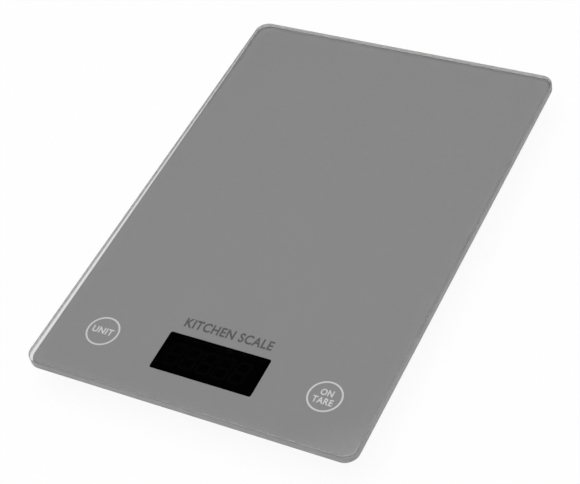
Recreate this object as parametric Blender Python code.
"""Slim electronic kitchen scale, modelled as the separate pieces it comes apart into.

A glass plate is the weighing surface. It is bonded to a shallow housing, which hangs on four
load cells, and each load cell stands on a foot that can rise a quarter of a millimetre. The
display, the circuit board and the springs of the two touch keys lie under the front of the
glass, and a coin cell lies behind a hinged door in the bottom cover.

Frame: origin on the floor under the middle of the plate, +X to the right, +Y to the back,
+Z up. The display is at the front, towards -Y. All named sizes are in millimetres times MM.
"""

import math

import bmesh
import bpy
from mathutils import Matrix

MM = 0.001

# ---- Driving dimensions ---------------------------------------------------------------------

TOTAL_HEIGHT = 17.0 * MM
GAP = 0.3 * MM  # between pieces that rest on each other

GLASS_WIDTH = 151.0 * MM
GLASS_LENGTH = 220.0 * MM
GLASS_THICKNESS = 4.0 * MM
GLASS_CORNER = 6.0 * MM
GLASS_ARRIS = 0.5 * MM  # ground and polished chamfer along both rims

PRINT_THICKNESS = 0.3 * MM
TAPE_THICKNESS = 0.5 * MM
TAPE_OPENINGS = [(-61.0 * MM, 10.0 * MM), (20.0 * MM, 91.0 * MM)]  # front and back of each

HOUSING_OVERHANG = 10.0 * MM  # the glass stands this far out past the housing
HOUSING_CORNER = 8.0 * MM
HOUSING_DRAFT = 1.0 * MM  # the side walls lean in by this much towards the bottom
HOUSING_ROUNDING = 0.8 * MM
HOUSING_WALL = 2.5 * MM
CEILING_THICKNESS = 1.5 * MM
RIB_THICKNESS = 1.2 * MM
RIB_BOTTOM = 7.5 * MM
RIB_X = 22.0 * MM
RIBS_Y = [-42.0 * MM, 0.0, 84.0 * MM]
LONG_RIB_FRONT = -62.0 * MM
SHORT_RIB_Y = 32.0 * MM

COVER_BOTTOM = 2.6 * MM
COVER_THICKNESS = 1.8 * MM
COVER_RIM_HEIGHT = 3.0 * MM
COVER_RIM_WALL = 1.2 * MM
EDGE_EASE = 0.3 * MM  # small chamfer on the cover's and the door's lower edge
LABEL_HALF_X = 32.0 * MM
LABEL_HALF_Y = 16.0 * MM
LABEL_Y = -36.0 * MM

WINDOW_WIDTH = 47.1 * MM
WINDOW_FRONT = -95.0 * MM
WINDOW_BACK = -75.5 * MM
WINDOW_CORNER = 1.0 * MM
KEY_X = 51.7 * MM
KEY_Y = -84.9 * MM
KEY_OPENING = 4.0 * MM

FOOT_X = 46.0 * MM
FOOT_Y = 64.0 * MM
FOOT_TRAVEL = 0.25 * MM
PAD_RADIUS = 7.5 * MM
PAD_THICKNESS = 1.7 * MM
CAP_RADIUS = 9.2 * MM
CAP_BOTTOM = 1.0 * MM
BUTTON_RADIUS = 2.5 * MM
CELL_SIZE = 26.0 * MM
CELL_THICKNESS = 1.2 * MM

COIN_RADIUS = 10.0 * MM
COIN_THICKNESS = 3.2 * MM
COIN_Y = 30.0 * MM

DOOR_WIDTH = 23.4 * MM
DOOR_FRONT = 17.8 * MM
DOOR_THICKNESS = 1.5 * MM
HINGE_Y = 44.5 * MM
HINGE_Z = 3.9 * MM
HINGE_RADIUS = 1.3 * MM
TRUNNION_RADIUS = 0.7 * MM
TRUNNION_LENGTH = 1.6 * MM
NOTCH_RADIUS = 6.0 * MM
GROOVES = 3
GROOVE_SPACING = 1.8 * MM

# ---- Levels worked out from them, from the top down -----------------------------------------

GLASS_BOTTOM = TOTAL_HEIGHT - GLASS_THICKNESS
PRINT_TOP = GLASS_BOTTOM - GAP
PRINT_BOTTOM = PRINT_TOP - PRINT_THICKNESS
TAPE_TOP = PRINT_BOTTOM - GAP
TAPE_BOTTOM = TAPE_TOP - TAPE_THICKNESS
HOUSING_TOP = TAPE_BOTTOM - GAP
CEILING = HOUSING_TOP - CEILING_THICKNESS
COVER_INNER = COVER_BOTTOM + COVER_THICKNESS
INTO = 0.5 * MM  # how far a rib or boss reaches into the wall that it grows from
PAST = 0.3 * MM  # how far a cut runs past the face that it opens

HOUSING_HALF_X = GLASS_WIDTH / 2 - HOUSING_OVERHANG
HOUSING_HALF_Y = GLASS_LENGTH / 2 - HOUSING_OVERHANG
CAVITY_HALF_X = HOUSING_HALF_X - HOUSING_WALL
CAVITY_HALF_Y = HOUSING_HALF_Y - HOUSING_WALL
CAVITY_CORNER = 6.0 * MM

LCD_HALF_X = 26.0 * MM
LCD_FRONT = WINDOW_FRONT - 1.2 * MM
LCD_BACK = WINDOW_BACK + 4.5 * MM
LCD_LEDGE = 3.2 * MM  # the upper glass is longer than the lower one by this much
LIGHT_HALF_X = WINDOW_WIDTH / 2 + 0.3 * MM
LIGHT_FRONT = WINDOW_FRONT - 0.5 * MM
LIGHT_BACK = WINDOW_BACK + 0.5 * MM
ZEBRA_HALF_X = 22.0 * MM
ZEBRA_BACK = LCD_BACK - 0.8 * MM
ZEBRA_FRONT = ZEBRA_BACK - 1.6 * MM
LCD_TOP = PRINT_BOTTOM - GAP
LCD_SHEET = 1.0 * MM
LCD_BOTTOM = LCD_TOP - 2 * LCD_SHEET

BOARD_TOP = 7.4 * MM
BOARD_BOTTOM = 6.4 * MM
BOARD_FRONT = -97.1 * MM
BOARD_BACK = -68.5 * MM
BOARD_HALF_X = 31.0 * MM
EAR_HALF_X = 56.0 * MM
EAR_FRONT = -89.0 * MM
EAR_BACK = -79.0 * MM
FRAME_BOTTOM = BOARD_TOP + GAP
FRAME_TOP = CEILING - GAP
FRAME_HALF_X = 26.4 * MM
FRAME_FRONT = BOARD_FRONT
FRAME_BACK = LCD_BACK + 1.1 * MM

BOSS_RADIUS = 2.8 * MM
PILOT_RADIUS = 1.4 * MM
BOSS_BOTTOM = 5.9 * MM
CUP_RADIUS = 3.6 * MM
CUP_TOP = BOSS_BOTTOM - GAP
SINK_RADIUS = 2.6 * MM
SINK_TOP = 4.2 * MM
COVER_SCREWS = [
    (side * x * MM, y * MM) for x, y in ((58.0, -92.5), (59.0, 0.0), (58.0, 92.5)) for side in (-1, 1)
]

PILLAR_RADIUS = 2.0 * MM
PILLAR_HOLE = 1.1 * MM
BOARD_SCREWS = [(x, y) for y in (-92.0 * MM, -72.5 * MM) for x in (-28.8 * MM, 28.8 * MM)]

CELL_BOTTOM = 7.0 * MM
CELL_TOP = CELL_BOTTOM + CELL_THICKNESS
BUTTON_TOP = CELL_BOTTOM - FOOT_TRAVEL - 0.05 * MM
FLANGE_BOTTOM = COVER_INNER + GAP
FOOT_HOLE = 9.6 * MM
COLLAR_OUTER = 12.0 * MM
COLLAR_INNER = 10.8 * MM
FEET = {
    "front_left": (-FOOT_X, -FOOT_Y),
    "front_right": (FOOT_X, -FOOT_Y),
    "back_left": (-FOOT_X, FOOT_Y),
    "back_right": (FOOT_X, FOOT_Y),
}

BAY_HALF_X = 15.0 * MM
BAY_FRONT = 15.5 * MM
BAY_BACK = 48.0 * MM
BAY_TOP = 9.3 * MM
BAY_CEILING = 8.6 * MM
BAY_RADIUS = COIN_RADIUS + 0.4 * MM
COIN_BOTTOM = 4.6 * MM
CONTACT_LEVEL = 8.25 * MM
CONTACT_WIDTH = 4.0 * MM
CONTACT_SHEET = 0.2 * MM
NEGATIVE_TAIL_Y = 13.4 * MM
POSITIVE_TAIL_X = -16.6 * MM

CELL_LEAD_RADIUS = 0.45 * MM
BATTERY_LEAD_RADIUS = 0.5 * MM
LEAD_FLOOR = 5.15 * MM  # a lead's centre where it lies on the cover
BOARD_MIDDLE = (BOARD_TOP + BOARD_BOTTOM) / 2
LEAD_END = BOARD_BACK + GAP


# ---- Outlines -------------------------------------------------------------------------------


def rectangle(x0, x1, y0, y1):
    return [(x0, y0), (x1, y0), (x1, y1), (x0, y1)]


def rounded(half_x, half_y, radius, middle=(0.0, 0.0), steps=7):
    """A rectangle with quarter-circle corners, counter-clockwise from its right side."""
    corners = [(1, -1, -90), (1, 1, 0), (-1, 1, 90), (-1, -1, 180)]
    points = []
    for side_x, side_y, start in corners:
        centre_x = middle[0] + side_x * (half_x - radius)
        centre_y = middle[1] + side_y * (half_y - radius)
        for step in range(steps + 1):
            angle = math.radians(start + 90 * step / steps)
            points.append((centre_x + radius * math.cos(angle), centre_y + radius * math.sin(angle)))
    return points


def circle(radius, middle=(0.0, 0.0), sides=24):
    turns = [2 * math.pi * step / sides for step in range(sides)]
    return [(middle[0] + radius * math.cos(t), middle[1] + radius * math.sin(t)) for t in turns]


def mirrored(half_outline):
    """A whole outline from its right half, which runs from front to back."""
    return half_outline + [(-x, y) for x, y in reversed(half_outline)]


# ---- Solids ---------------------------------------------------------------------------------


def new_object(name, mesh_builder):
    mesh = bpy.data.meshes.new(name)
    bmesh.ops.recalc_face_normals(mesh_builder, faces=mesh_builder.faces)
    mesh_builder.to_mesh(mesh)
    mesh_builder.free()
    piece = bpy.data.objects.new(name, mesh)
    bpy.context.scene.collection.objects.link(piece)
    return piece


def lofted(name, sections):
    """A closed solid through flat outlines with equal point counts, each at its own height."""
    work = bmesh.new()
    rings = [[work.verts.new((x, y, z)) for x, y in outline] for outline, z in sections]
    for lower, upper in zip(rings, rings[1:]):
        for i in range(len(lower)):
            j = (i + 1) % len(lower)
            work.faces.new((lower[i], lower[j], upper[j], upper[i]))
    work.faces.new(list(reversed(rings[0])))
    work.faces.new(rings[-1])
    return new_object(name, work)


def plate(name, outline, bottom, top):
    return lofted(name, [(outline, bottom), (outline, top)])


def turned(name, profile, middle=(0.0, 0.0), sides=24):
    """A solid of revolution about a vertical line. The profile runs from the axis to the axis."""
    work = bmesh.new()
    angles = [2 * math.pi * step / sides for step in range(sides)]
    rings = []
    for radius, z in profile:
        if radius == 0:
            rings.append([work.verts.new((middle[0], middle[1], z))])
        else:
            spots = [(middle[0] + radius * math.cos(a), middle[1] + radius * math.sin(a)) for a in angles]
            rings.append([work.verts.new((x, y, z)) for x, y in spots])
    for lower, upper in zip(rings, rings[1:]):
        for i in range(sides):
            j = (i + 1) % sides
            if len(lower) == 1:
                work.faces.new((lower[0], upper[j], upper[i]))
            elif len(upper) == 1:
                work.faces.new((lower[i], lower[j], upper[0]))
            else:
                work.faces.new((lower[i], lower[j], upper[j], upper[i]))
    return new_object(name, work)


def along_x(name, radius, x0, x1, y, z, sides=20):
    """A cylinder whose axis lies along X."""
    work = bmesh.new()
    bmesh.ops.create_cone(
        work,
        cap_ends=True,
        segments=sides,
        radius1=radius,
        radius2=radius,
        depth=x1 - x0,
        matrix=Matrix.Translation(((x0 + x1) / 2, y, z)) @ Matrix.Rotation(math.radians(90), 4, "Y"),
    )
    return new_object(name, work)


def strip(name, path, thickness, low, high, to_world):
    """Sheet metal bent along a path in a plane, from low to high across it."""
    work = bmesh.new()
    sides = []
    for i, (u, w) in enumerate(path):
        before = path[max(i - 1, 0)]
        after = path[min(i + 1, len(path) - 1)]
        length = math.hypot(after[0] - before[0], after[1] - before[1])
        off_u = -(after[1] - before[1]) / length * thickness / 2
        off_w = (after[0] - before[0]) / length * thickness / 2
        corners = [(u - off_u, w - off_w), (u + off_u, w + off_w)]
        sides.append([work.verts.new(to_world(a, b, across)) for across in (low, high) for a, b in corners])
    for first, second in zip(sides, sides[1:]):
        for i, j in ((0, 1), (1, 3), (3, 2), (2, 0)):
            work.faces.new((first[i], first[j], second[j], second[i]))
    for end in (sides[0], sides[-1]):
        work.faces.new((end[0], end[1], end[3], end[2]))
    return new_object(name, work)


def wire(name, points, radius):
    """A round wire through the given points, with closed ends."""
    curve = bpy.data.curves.new(name, "CURVE")
    curve.dimensions = "3D"
    curve.bevel_depth = radius
    curve.bevel_resolution = 2
    curve.use_fill_caps = True
    spline = curve.splines.new("POLY")
    spline.points.add(len(points) - 1)
    for point, spot in zip(spline.points, points):
        point.co = (*spot, 1.0)
    piece = bpy.data.objects.new(name, curve)
    bpy.context.scene.collection.objects.link(piece)
    return piece


def catmull_rom(p, q, r, s, t):
    """One coordinate of the curve between q and r, t of the way along."""
    bend = (2 * p - 5 * q + 4 * r - s) * t**2 + (3 * q - p - 3 * r + s) * t**3
    return 0.5 * (2 * q + (r - p) * t + bend)


def smooth_route(knots, steps=2):
    """Points on a Catmull-Rom curve through the knots, which are in millimetres."""
    padded = [knots[0], *knots, knots[-1]]
    points = []
    for a, b, c, d in zip(padded, padded[1:], padded[2:], padded[3:]):
        for step in range(steps):
            t = step / steps
            points.append(tuple(MM * catmull_rom(p, q, r, s, t) for p, q, r, s in zip(a, b, c, d)))
    points.append(tuple(MM * value for value in knots[-1]))
    return points


def combine(piece, operation, helpers):
    """Adds or cuts the helper solids with one Boolean, and hides them."""
    group = bpy.data.collections.new(f"{piece.name}_{operation.lower()}")
    bpy.context.scene.collection.children.link(group)
    for helper in helpers:
        bpy.context.scene.collection.objects.unlink(helper)
        group.objects.link(helper)
        helper.hide_render = True
        helper.display_type = "WIRE"
    boolean = piece.modifiers.new(operation.title(), "BOOLEAN")
    boolean.operation = operation
    boolean.operand_type = "COLLECTION"
    boolean.collection = group
    boolean.solver = "EXACT"


def finish(piece, color, roughness, metallic=0.0, alpha=1.0):
    """Gives the piece its own material and smooth shading between its sharp edges."""
    material = bpy.data.materials.new(piece.name)
    material.use_nodes = True
    shader = material.node_tree.nodes["Principled BSDF"]
    shader.inputs["Base Color"].default_value = (*color, 1.0)
    shader.inputs["Roughness"].default_value = roughness
    shader.inputs["Metallic"].default_value = metallic
    shader.inputs["Alpha"].default_value = alpha
    piece.data.materials.append(material)
    if piece.type == "MESH":
        piece.data.shade_smooth()
        piece.data.set_sharp_from_angle(angle=math.radians(30))
    return piece


# ---- Colours --------------------------------------------------------------------------------

CLEAR_GLASS = (0.80, 0.88, 0.86)
PRINT_GREY = (0.246, 0.246, 0.246)
TAPE_WHITE = (0.75, 0.75, 0.72)
PLASTIC_GREY = (0.20, 0.20, 0.205)
COVER_GREY = (0.17, 0.17, 0.175)
FOOT_GREY = (0.10, 0.10, 0.10)
RUBBER_BLACK = (0.03, 0.03, 0.03)
STEEL = (0.56, 0.55, 0.53)
NICKEL = (0.66, 0.64, 0.60)
GAUGE_AMBER = (0.55, 0.28, 0.06)
BOARD_GREEN = (0.03, 0.17, 0.07)
DISPLAY_BLACK = (0.006, 0.006, 0.007)
DIFFUSER_WHITE = (0.8, 0.8, 0.78)
CHIP_BLACK = (0.012, 0.012, 0.012)
LEAD_RED = (0.45, 0.02, 0.02)
LEAD_BLACK = (0.02, 0.02, 0.02)
LEAD_WHITE = (0.7, 0.7, 0.7)


# ---- The weighing surface -------------------------------------------------------------------


def make_glass_platform():
    half_x, half_y = GLASS_WIDTH / 2, GLASS_LENGTH / 2
    full = rounded(half_x, half_y, GLASS_CORNER)
    inner = rounded(half_x - GLASS_ARRIS, half_y - GLASS_ARRIS, GLASS_CORNER - GLASS_ARRIS)
    glass = lofted(
        "glass_platform",
        [
            (inner, GLASS_BOTTOM),
            (full, GLASS_BOTTOM + GLASS_ARRIS),
            (full, TOTAL_HEIGHT - GLASS_ARRIS),
            (inner, TOTAL_HEIGHT),
        ],
    )
    return finish(glass, CLEAR_GLASS, 0.03, alpha=0.35)


def make_printed_layer():
    """The grey coat on the back of the glass, with a window in front of the display."""
    half_x = GLASS_WIDTH / 2 - GLASS_ARRIS
    half_y = GLASS_LENGTH / 2 - GLASS_ARRIS
    outline = rounded(half_x, half_y, GLASS_CORNER - GLASS_ARRIS)
    layer = plate("printed_layer", outline, PRINT_BOTTOM, PRINT_TOP)
    middle = (0.0, (WINDOW_FRONT + WINDOW_BACK) / 2)
    window = rounded(WINDOW_WIDTH / 2, (WINDOW_BACK - WINDOW_FRONT) / 2, WINDOW_CORNER, middle, 3)
    combine(layer, "DIFFERENCE", [plate("print_window", window, PRINT_BOTTOM - PAST, PRINT_TOP + PAST)])
    return finish(layer, PRINT_GREY, 0.5)


def make_bonding_tape():
    """Double-sided foam tape, die-cut round the display, the two keys and two large openings."""
    inset = 1.5 * MM
    bottom, top = TAPE_BOTTOM - PAST, TAPE_TOP + PAST
    outline = rounded(HOUSING_HALF_X - inset, HOUSING_HALF_Y - inset, HOUSING_CORNER - inset)
    tape = plate("bonding_tape", outline, TAPE_BOTTOM, TAPE_TOP)
    room = 0.6 * MM
    display = rectangle(-LCD_HALF_X - room, LCD_HALF_X + room, LCD_FRONT - room, LCD_BACK + room)
    holes = [plate("tape_display", display, bottom, top)]
    for side in (-1, 1):
        key = circle(KEY_OPENING + 1.0 * MM, (side * KEY_X, KEY_Y))
        holes.append(plate(f"tape_key_{side}", key, bottom, top))
    for i, (front, back) in enumerate(TAPE_OPENINGS):
        opening = rounded(50.0 * MM, (back - front) / 2, 6.0 * MM, (0.0, (front + back) / 2), 4)
        holes.append(plate(f"tape_opening_{i}", opening, bottom, top))
    combine(tape, "DIFFERENCE", holes)
    return finish(tape, TAPE_WHITE, 0.8)


# ---- The housing ----------------------------------------------------------------------------


def corner_post(name, middle, side_x, side_y):
    """An L-shaped post that holds one corner of a load cell."""
    inner = CELL_SIZE / 2 + GAP
    outer = inner + RIB_THICKNESS
    start = 8.0 * MM
    shape = [(start, inner), (inner, inner), (inner, start), (outer, start), (outer, outer), (start, outer)]
    outline = [(middle[0] + side_x * x, middle[1] + side_y * y) for x, y in shape]
    return plate(name, outline, CELL_BOTTOM - 0.6 * MM, CEILING + INTO)


def load_cell_seat(foot, middle):
    """Four corner posts, and two bars that press on the side arms of the load cell."""
    pieces = [corner_post(f"post_{foot}_{sx}_{sy}", middle, sx, sy) for sx in (-1, 1) for sy in (-1, 1)]
    half_length, half_width = 7.0 * MM, 1.0 * MM
    for side in (-1, 1):
        x, y = middle[0], middle[1] + side * (CELL_SIZE / 2 - 1.5 * MM)
        bar = rectangle(x - half_length, x + half_length, y - half_width, y + half_width)
        pieces.append(plate(f"seat_{foot}_{side}", bar, CELL_TOP + GAP, CEILING + INTO))
    return pieces


def housing_ribs():
    """Two long ribs, three across the whole housing, and one short rib behind each middle."""
    half = RIB_THICKNESS / 2
    reach = CAVITY_HALF_X + INTO
    lines = []
    for side in (-1, 1):
        x = side * RIB_X
        lines.append(rectangle(x - half, x + half, LONG_RIB_FRONT, RIBS_Y[-1] + half))
        lines.append(rectangle(*sorted((x, side * reach)), SHORT_RIB_Y - half, SHORT_RIB_Y + half))
    for y in RIBS_Y:
        lines.append(rectangle(-reach, reach, y - half, y + half))
    return [plate(f"rib_{i}", line, RIB_BOTTOM, CEILING + INTO) for i, line in enumerate(lines)]


def make_upper_housing():
    """A shallow tray, open downwards, with the ribs, bosses, pillars and load-cell seats."""

    def outline(inset):
        return rounded(HOUSING_HALF_X - inset, HOUSING_HALF_Y - inset, HOUSING_CORNER - inset)

    housing = lofted(
        "upper_housing",
        [
            (outline(HOUSING_DRAFT + HOUSING_ROUNDING), COVER_BOTTOM),
            (outline(HOUSING_DRAFT), COVER_BOTTOM + HOUSING_ROUNDING),
            (outline(0.0), HOUSING_TOP - HOUSING_ROUNDING),
            (outline(HOUSING_ROUNDING), HOUSING_TOP),
        ],
    )
    cavity = rounded(CAVITY_HALF_X, CAVITY_HALF_Y, CAVITY_CORNER)
    combine(housing, "DIFFERENCE", [plate("housing_cavity", cavity, COVER_BOTTOM - PAST, CEILING)])

    added = housing_ribs()
    for i, spot in enumerate(COVER_SCREWS):
        added.append(plate(f"boss_{i}", circle(BOSS_RADIUS, spot, 16), BOSS_BOTTOM, CEILING + INTO))
    for i, spot in enumerate(BOARD_SCREWS):
        added.append(plate(f"pillar_{i}", circle(PILLAR_RADIUS, spot, 14), FRAME_BOTTOM, CEILING + INTO))
    for foot, middle in FEET.items():
        added += load_cell_seat(foot, middle)
    combine(housing, "UNION", added)

    below, above = CEILING - PAST, HOUSING_TOP + PAST
    display = rectangle(-LCD_HALF_X - GAP, LCD_HALF_X + GAP, LCD_FRONT - GAP, LCD_BACK + GAP)
    holes = [plate("housing_display", display, below, above)]
    for side in (-1, 1):
        key = circle(KEY_OPENING, (side * KEY_X, KEY_Y), 20)
        holes.append(plate(f"housing_key_{side}", key, below, above))
    for i, spot in enumerate(COVER_SCREWS):
        pilot = circle(PILOT_RADIUS, spot, 12)
        holes.append(plate(f"pilot_{i}", pilot, BOSS_BOTTOM - PAST, CEILING - INTO))
    for i, spot in enumerate(BOARD_SCREWS):
        pilot = circle(PILLAR_HOLE, spot, 10)
        holes.append(plate(f"pillar_hole_{i}", pilot, FRAME_BOTTOM - PAST, CEILING + INTO))
    combine(housing, "DIFFERENCE", holes)
    return finish(housing, PLASTIC_GREY, 0.45)


def door_recess_cuts():
    """The door's opening, room for its barrel, a notch for a finger and the hinge's sockets."""
    side = DOOR_WIDTH / 2 + GAP
    back = HINGE_Y + HINGE_RADIUS + 0.35 * MM
    front = HINGE_Y - HINGE_RADIUS - 0.35 * MM
    recess = rectangle(-side, side, DOOR_FRONT - GAP, back)
    hinge = rectangle(-side, side, front, back)
    notch = circle(NOTCH_RADIUS, (0.0, DOOR_FRONT - GAP), 20)
    socket = side + TRUNNION_LENGTH + GAP
    return [
        plate("door_recess", recess, COVER_BOTTOM - PAST, COVER_INNER),
        plate("hinge_recess", hinge, COVER_BOTTOM - PAST, HINGE_Z + HINGE_RADIUS + 0.4 * MM),
        plate("finger_notch", notch, COVER_BOTTOM - PAST, COVER_BOTTOM + 0.8 * MM),
        along_x("hinge_sockets", TRUNNION_RADIUS + 0.1 * MM, -socket, socket, HINGE_Y, HINGE_Z),
    ]


def coin_bay_cuts():
    """The coin cell's round bay, a pocket for the contact beside it and a slot for each tail."""
    bottom = COVER_INNER - PAST
    slot = CONTACT_WIDTH / 2 + GAP
    pocket_x = -BAY_RADIUS - 2.0 * MM
    pocket = rectangle(pocket_x, -9.0 * MM, COIN_Y - slot, COIN_Y + slot)
    positive = rectangle(POSITIVE_TAIL_X, pocket_x + 0.4 * MM, COIN_Y - slot, COIN_Y + slot)
    negative = rectangle(-slot, slot, NEGATIVE_TAIL_Y, COIN_Y - 8.0 * MM)
    return [
        plate("coin_bore", circle(BAY_RADIUS, (0.0, COIN_Y), 32), bottom, BAY_CEILING),
        plate("contact_pocket", pocket, bottom, BAY_CEILING),
        plate("positive_slot", positive, CONTACT_LEVEL - 0.35 * MM, BAY_CEILING),
        plate("negative_slot", negative, CONTACT_LEVEL - 0.35 * MM, BAY_CEILING),
    ]


def make_bottom_cover():
    """A flat cover with a rim, the screw cups, the feet's collars and the coin cell's bay."""

    def outline(inset):
        gone = GAP + inset
        return rounded(CAVITY_HALF_X - gone, CAVITY_HALF_Y - gone, CAVITY_CORNER - gone)

    rim_top = COVER_BOTTOM + COVER_RIM_HEIGHT
    cover = lofted(
        "bottom_cover",
        [
            (outline(EDGE_EASE), COVER_BOTTOM),
            (outline(0.0), COVER_BOTTOM + EDGE_EASE),
            (outline(0.0), rim_top),
        ],
    )
    inside = plate("cover_inside", outline(COVER_RIM_WALL), COVER_INNER, rim_top + PAST)
    combine(cover, "DIFFERENCE", [inside])

    base = COVER_INNER - INTO
    added = [plate("bay_block", rectangle(-BAY_HALF_X, BAY_HALF_X, BAY_FRONT, BAY_BACK), base, BAY_TOP)]
    for i, spot in enumerate(COVER_SCREWS):
        added.append(plate(f"cup_{i}", circle(CUP_RADIUS, spot, 16), base, CUP_TOP))
    for foot, middle in FEET.items():
        added.append(plate(f"collar_{foot}", circle(COLLAR_OUTER, middle, 28), base, CELL_BOTTOM - GAP))
    for side in (-1, 1):
        spot = (side * FOOT_X, KEY_Y)
        added.append(plate(f"ear_post_{side}", circle(1.5 * MM, spot, 12), base, BOARD_BOTTOM - GAP))
    combine(cover, "UNION", added)

    below = COVER_BOTTOM - PAST
    holes = door_recess_cuts() + coin_bay_cuts()
    label = rounded(LABEL_HALF_X, LABEL_HALF_Y, 2.0 * MM, (0.0, LABEL_Y), 3)
    holes.append(plate("label_recess", label, below, COVER_BOTTOM + 0.4 * MM))
    for i, spot in enumerate(COVER_SCREWS):
        holes.append(plate(f"sink_{i}", circle(SINK_RADIUS, spot, 16), below, SINK_TOP))
        holes.append(plate(f"screw_way_{i}", circle(PILOT_RADIUS, spot, 12), SINK_TOP - PAST, CUP_TOP + PAST))
    for foot, middle in FEET.items():
        holes.append(plate(f"foot_way_{foot}", circle(FOOT_HOLE, middle, 28), below, COVER_INNER + PAST))
        collar_way = circle(COLLAR_INNER, middle, 28)
        holes.append(plate(f"collar_way_{foot}", collar_way, COVER_INNER, CELL_BOTTOM))
    combine(cover, "DIFFERENCE", holes)
    return finish(cover, COVER_GREY, 0.5)


# ---- Screws ---------------------------------------------------------------------------------


def make_screw(name, spot, head_bottom, head_height, head_radius, shank_radius, tip):
    """A pan-head screw with a cross recess, standing head down."""
    shank = head_bottom + head_height
    rim = 0.3 * head_height
    profile = [
        (0, head_bottom),
        (head_radius - rim, head_bottom),
        (head_radius, head_bottom + rim),
        (head_radius, shank),
        (shank_radius, shank),
        (shank_radius, tip - shank_radius),
        (0, tip),
    ]
    screw = turned(name, profile, spot, 14)
    arm, half = 0.62 * head_radius, 0.14 * head_radius
    x, y = spot
    slots = [
        rectangle(x - arm, x + arm, y - half, y + half),
        rectangle(x - half, x + half, y - arm, y + arm),
    ]
    cross = [plate(f"{name}_slot_{i}", slot, head_bottom - PAST, shank - rim) for i, slot in enumerate(slots)]
    combine(screw, "DIFFERENCE", cross)
    return finish(screw, NICKEL, 0.3, metallic=1.0)


def make_screws():
    for i, spot in enumerate(COVER_SCREWS):
        make_screw(
            f"cover_screw_{i + 1}",
            spot,
            head_bottom=SINK_TOP - 1.5 * MM,
            head_height=1.2 * MM,
            head_radius=2.1 * MM,
            shank_radius=1.1 * MM,
            tip=9.0 * MM,
        )
    for i, spot in enumerate(BOARD_SCREWS):
        make_screw(
            f"board_screw_{i + 1}",
            spot,
            head_bottom=BOARD_BOTTOM - 1.4 * MM,
            head_height=1.1 * MM,
            head_radius=1.6 * MM,
            shank_radius=0.8 * MM,
            tip=9.8 * MM,
        )


# ---- Feet and load cells --------------------------------------------------------------------


def make_foot(foot, middle):
    """A cap that slides in the cover's collar, with a button on top and a rubber pad below."""
    pocket = PAD_RADIUS + GAP
    flange = COLLAR_INNER - GAP
    flange_top = FLANGE_BOTTOM + 1.0 * MM
    ease = 0.4 * MM
    cap_profile = [
        (0, PAD_THICKNESS + GAP),
        (pocket, PAD_THICKNESS + GAP),
        (pocket, CAP_BOTTOM),
        (CAP_RADIUS - ease, CAP_BOTTOM),
        (CAP_RADIUS, CAP_BOTTOM + ease),
        (CAP_RADIUS, FLANGE_BOTTOM),
        (flange, FLANGE_BOTTOM),
        (flange, flange_top),
        (BUTTON_RADIUS, flange_top),
        (BUTTON_RADIUS, BUTTON_TOP - ease),
        (BUTTON_RADIUS - ease, BUTTON_TOP),
        (0, BUTTON_TOP),
    ]
    cap = turned(f"foot_cap_{foot}", cap_profile)
    cap.location = (*middle, 0)
    finish(cap, FOOT_GREY, 0.5)

    pad_profile = [
        (0, 0),
        (PAD_RADIUS - ease, 0),
        (PAD_RADIUS, ease),
        (PAD_RADIUS, PAD_THICKNESS),
        (0, PAD_THICKNESS),
    ]
    pad = turned(f"foot_pad_{foot}", pad_profile)
    pad.location = (*middle, 0)
    finish(pad, RUBBER_BLACK, 0.85)


def make_load_cell(foot, middle):
    """A steel plate with a tongue, rooted towards the middle of the scale, and its gauge."""
    outward = math.copysign(1.0, middle[0])
    half = CELL_SIZE / 2
    cell = plate(f"load_cell_{foot}", rounded(half, half, 1.5 * MM, middle, 2), CELL_BOTTOM, CELL_TOP)

    def local(points):
        return [(middle[0] + outward * u, middle[1] + v) for u, v in points]

    opening, tongue, tip = 10.0 * MM, 4.5 * MM, 6.0 * MM  # half sizes, and where the tongue ends
    slot = [
        (-opening, -opening),
        (opening, -opening),
        (opening, opening),
        (-opening, opening),
        (-opening, tongue),
        (tip, tongue),
        (tip, -tongue),
        (-opening, -tongue),
    ]
    bottom, top = CELL_BOTTOM - PAST, CELL_TOP + PAST
    combine(cell, "DIFFERENCE", [plate(f"cell_slot_{foot}", local(slot), bottom, top)])
    finish(cell, STEEL, 0.35, metallic=1.0)

    film = local(rectangle(-8.0 * MM, -3.0 * MM, -2.0 * MM, 2.0 * MM))
    gauge = plate(f"strain_gauge_{foot}", film, CELL_TOP + GAP, CELL_TOP + GAP + 0.2 * MM)
    finish(gauge, GAUGE_AMBER, 0.4)


# ---- Display and electronics ----------------------------------------------------------------


def make_circuit_board():
    half = [
        (BOARD_HALF_X, BOARD_FRONT),
        (BOARD_HALF_X, EAR_FRONT),
        (EAR_HALF_X, EAR_FRONT),
        (EAR_HALF_X, EAR_BACK),
        (BOARD_HALF_X, EAR_BACK),
        (BOARD_HALF_X, BOARD_BACK),
    ]
    board = plate("circuit_board", mirrored(half), BOARD_BOTTOM, BOARD_TOP)
    bottom, top = BOARD_BOTTOM - PAST, BOARD_TOP + PAST
    holes = []
    for i, spot in enumerate(BOARD_SCREWS):
        holes.append(plate(f"board_hole_{i}", circle(PILLAR_HOLE, spot, 12), bottom, top))
    combine(board, "DIFFERENCE", holes)
    return finish(board, BOARD_GREEN, 0.35)


def make_controller_chip():
    """A low round blob of resin over the bare chip, on the board's underside."""
    top, drop, radius = BOARD_BOTTOM - GAP, 1.2 * MM, 6.0 * MM
    angles = [math.radians(15 * step) for step in range(5, -1, -1)]
    dome = [(radius * math.cos(a), top - drop * math.sin(a)) for a in angles]
    chip = turned("controller_chip", [(0, top - drop), *dome, (0, top)], (0.0, -80.0 * MM), 20)
    return finish(chip, CHIP_BLACK, 0.3)


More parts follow.
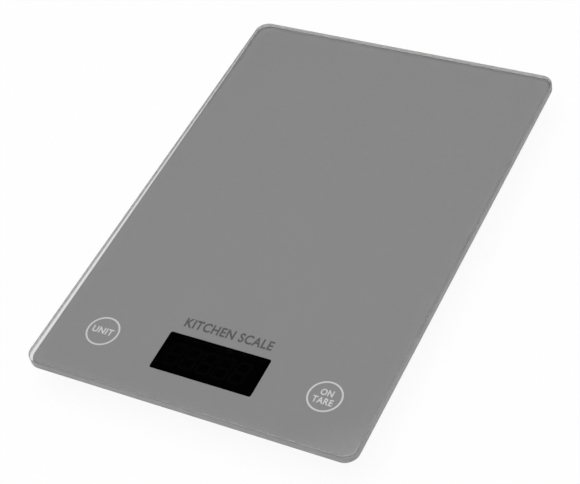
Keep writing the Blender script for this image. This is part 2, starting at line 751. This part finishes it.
def make_display():
    """A panel of two glasses over a light guide, both in a frame, with a rubber connector."""
    upper = rectangle(-LCD_HALF_X, LCD_HALF_X, LCD_FRONT, LCD_BACK)
    lower = rectangle(-LCD_HALF_X, LCD_HALF_X, LCD_FRONT, LCD_BACK - LCD_LEDGE)
    panel = plate("lcd_panel", upper, LCD_TOP - LCD_SHEET, LCD_TOP)
    combine(panel, "UNION", [plate("lcd_lower", lower, LCD_BOTTOM, LCD_TOP - LCD_SHEET / 2)])
    finish(panel, DISPLAY_BLACK, 0.1)

    light = rectangle(-LIGHT_HALF_X, LIGHT_HALF_X, LIGHT_FRONT, LIGHT_BACK)
    finish(plate("lcd_backlight", light, FRAME_BOTTOM, LCD_BOTTOM - GAP), DIFFUSER_WHITE, 0.4)

    connector = rectangle(-ZEBRA_HALF_X, ZEBRA_HALF_X, ZEBRA_FRONT, ZEBRA_BACK)
    connector_top = LCD_TOP - LCD_SHEET - GAP
    finish(plate("zebra_connector", connector, FRAME_BOTTOM, connector_top), RUBBER_BLACK, 0.6)

    outline = rectangle(-FRAME_HALF_X, FRAME_HALF_X, FRAME_FRONT, FRAME_BACK)
    frame = plate("lcd_frame", outline, FRAME_BOTTOM, FRAME_TOP)
    bottom, top = FRAME_BOTTOM - PAST, FRAME_TOP + PAST
    light_pocket = rectangle(-LIGHT_HALF_X - GAP, LIGHT_HALF_X + GAP, LIGHT_FRONT - GAP, LIGHT_BACK + GAP)
    connector_slot = rectangle(-ZEBRA_HALF_X - GAP, ZEBRA_HALF_X + GAP, ZEBRA_FRONT - GAP, ZEBRA_BACK + GAP)
    pockets = [
        plate("frame_light_pocket", light_pocket, bottom, top),
        plate("frame_connector_slot", connector_slot, bottom, top),
    ]
    combine(frame, "DIFFERENCE", pockets)
    finish(frame, DIFFUSER_WHITE, 0.5)


def make_touch_spring(name, x):
    """A coil spring that carries a touch key's signal from the glass down to the board."""
    radius, wire_radius, turns, per_turn = 2.6 * MM, 0.2 * MM, 4, 12
    bottom = FRAME_BOTTOM + wire_radius
    top = PRINT_BOTTOM - GAP - wire_radius
    count = turns * per_turn
    points = []
    for step in range(count + 1):
        angle = 2 * math.pi * step / per_turn
        rise = bottom + (top - bottom) * step / count
        points.append((x + radius * math.cos(angle), KEY_Y + radius * math.sin(angle), rise))
    return finish(wire(name, points, wire_radius), NICKEL, 0.25, metallic=1.0)


# ---- Battery --------------------------------------------------------------------------------


def make_coin_cell():
    """The can below, its crimped rim, and the smaller lid on top."""
    bottom, top = COIN_BOTTOM, COIN_BOTTOM + COIN_THICKNESS
    profile = [
        (0, bottom),
        (COIN_RADIUS - 0.4 * MM, bottom),
        (COIN_RADIUS, bottom + 0.4 * MM),
        (COIN_RADIUS, top - 0.5 * MM),
        (COIN_RADIUS - 0.3 * MM, top - 0.2 * MM),
        (COIN_RADIUS - 1.1 * MM, top - 0.2 * MM),
        (COIN_RADIUS - 1.3 * MM, top - 0.4 * MM),
        (COIN_RADIUS - 1.7 * MM, top),
        (0, top),
    ]
    return finish(turned("coin_cell", profile, (0.0, COIN_Y), 32), NICKEL, 0.28, metallic=1.0)


def make_contacts():
    """Two strips of nickel-plated spring steel, one above the coin cell and one beside it."""
    half = CONTACT_WIDTH / 2
    negative = [(34.0, 8.35), (30.0, 8.2), (24.0, 8.25), (20.0, 8.25)]
    negative = [(y * MM, z * MM) for y, z in negative] + [(NEGATIVE_TAIL_Y, CONTACT_LEVEL)]
    above = strip("contact_negative", negative, CONTACT_SHEET, -half, half, lambda y, z, x: (x, y, z))
    finish(above, NICKEL, 0.25, metallic=1.0)

    positive = [(-11.9, 5.2), (-10.5, 6.2), (-11.8, 7.4), (-12.1, 8.1)]
    positive = [(x * MM, z * MM) for x, z in positive]
    positive += [(-12.7 * MM, CONTACT_LEVEL), (POSITIVE_TAIL_X, CONTACT_LEVEL)]
    low, high = COIN_Y - half, COIN_Y + half
    beside = strip("contact_positive", positive, CONTACT_SHEET, low, high, lambda x, z, y: (x, y, z))
    finish(beside, NICKEL, 0.25, metallic=1.0)


def make_battery_door():
    """A flush door with finger grooves, a hinge barrel and a trunnion at each end of it."""
    half = DOOR_WIDTH / 2
    half_y = (HINGE_Y - DOOR_FRONT) / 2
    middle = (0.0, DOOR_FRONT + half_y)

    def outline(inset):
        return rounded(half - inset, half_y - inset, 1.5 * MM - inset, middle, 3)

    door = lofted(
        "battery_door",
        [
            (outline(EDGE_EASE), COVER_BOTTOM),
            (outline(0.0), COVER_BOTTOM + EDGE_EASE),
            (outline(0.0), COVER_BOTTOM + DOOR_THICKNESS),
        ],
    )
    tip = half + TRUNNION_LENGTH
    added = [
        along_x("door_barrel", HINGE_RADIUS, -half, half, HINGE_Y, HINGE_Z),
        along_x("door_trunnions", TRUNNION_RADIUS, -tip, tip, HINGE_Y, HINGE_Z, 16),
    ]
    combine(door, "UNION", added)
    grooves = []
    for i in range(GROOVES):
        y = DOOR_FRONT + 2.5 * MM + GROOVE_SPACING * i
        groove = rectangle(-5.0 * MM, 5.0 * MM, y - 0.4 * MM, y + 0.4 * MM)
        grooves.append(plate(f"door_groove_{i}", groove, COVER_BOTTOM - PAST, COVER_BOTTOM + 0.4 * MM))
    combine(door, "DIFFERENCE", grooves)

    hinge = bpy.data.objects.new("battery_door_hinge", None)
    hinge.location = (0, HINGE_Y, HINGE_Z)
    bpy.context.scene.collection.objects.link(hinge)
    for helper in [door, *added, *grooves]:
        helper.data.transform(Matrix.Translation((0, -HINGE_Y, -HINGE_Z)))
        helper.parent = hinge
    return finish(door, COVER_GREY, 0.5)


# ---- Leads ----------------------------------------------------------------------------------


def make_load_cell_leads():
    """Each lead leaves the gauge, drops to the cover and runs forward to the board's back edge."""
    gauge_end = FOOT_X / MM - 8.3
    level = (CELL_TOP + GAP + CELL_LEAD_RADIUS) / MM
    floor = LEAD_FLOOR / MM
    foot_y = FOOT_Y / MM
    end = (LEAD_END / MM, BOARD_MIDDLE / MM)
    back = [
        (gauge_end, foot_y, level),
        (34.0, foot_y, level),
        (31.0, foot_y - 0.4, 8.5),
        (28.5, foot_y - 3.0, 7.0),
        (27.3, foot_y - 8.0, 5.6),
        (27.0, 46.0, floor),
        (26.0, 20.0, floor),
        (22.0, -20.0, floor),
        (16.0, -50.0, floor),
        (13.0, -62.0, 5.6),
        (12.5, *end),
    ]
    front = [
        (gauge_end, -foot_y, level),
        (34.0, -foot_y, level),
        (31.0, -foot_y + 0.5, 8.3),
        (28.3, -61.8, 7.0),
        (25.5, -60.8, 6.1),
        (22.0, -61.8, 6.0),
        (19.6, -65.0, 6.5),
        (19.0, *end),
    ]
    for row, knots in (("front", front), ("back", back)):
        for side_name, side in (("left", -1), ("right", 1)):
            route = smooth_route([(side * x, y, z) for x, y, z in knots])
            lead = wire(f"load_cell_lead_{row}_{side_name}", route, CELL_LEAD_RADIUS)
            finish(lead, LEAD_WHITE, 0.5)


def make_battery_leads():
    """Each lead leaves its contact's tail, drops to the cover and runs forward to the board."""
    floor = LEAD_FLOOR / MM + 0.05
    level = CONTACT_LEVEL / MM
    end = (LEAD_END / MM, BOARD_MIDDLE / MM)
    negative = [
        (0.0, (NEGATIVE_TAIL_Y - GAP) / MM, level),
        (0.3, 10.5, 8.1),
        (1.5, 6.5, 6.6),
        (3.0, 2.0, 5.5),
        (4.0, -6.0, floor),
        (5.0, -30.0, floor),
        (6.0, -54.0, floor),
        (6.5, -63.5, 5.9),
        (6.5, *end),
    ]
    positive = [
        ((POSITIVE_TAIL_X - GAP) / MM, 30.0, level),
        (-18.2, 29.6, 7.9),
        (-19.0, 27.0, 6.4),
        (-19.2, 22.0, 5.4),
        (-18.6, 12.0, floor),
        (-16.0, -10.0, floor),
        (-9.5, -45.0, floor),
        (-7.2, -58.0, floor),
        (-6.5, -63.5, 5.9),
        (-6.5, *end),
    ]
    finish(wire("battery_lead_negative", smooth_route(negative), BATTERY_LEAD_RADIUS), LEAD_BLACK, 0.5)
    finish(wire("battery_lead_positive", smooth_route(positive), BATTERY_LEAD_RADIUS), LEAD_RED, 0.5)


# ---- Assembly -------------------------------------------------------------------------------


def main():
    for old in list(bpy.data.objects):
        bpy.data.objects.remove(old)
    make_glass_platform()
    make_printed_layer()
    make_bonding_tape()
    make_upper_housing()
    make_bottom_cover()
    make_screws()
    for foot, middle in FEET.items():
        make_foot(foot, middle)
        make_load_cell(foot, middle)
    make_circuit_board()
    make_controller_chip()
    make_display()
    make_touch_spring("touch_spring_unit", -KEY_X)
    make_touch_spring("touch_spring_tare", KEY_X)
    make_coin_cell()
    make_contacts()
    make_battery_door()
    make_load_cell_leads()
    make_battery_leads()


main()
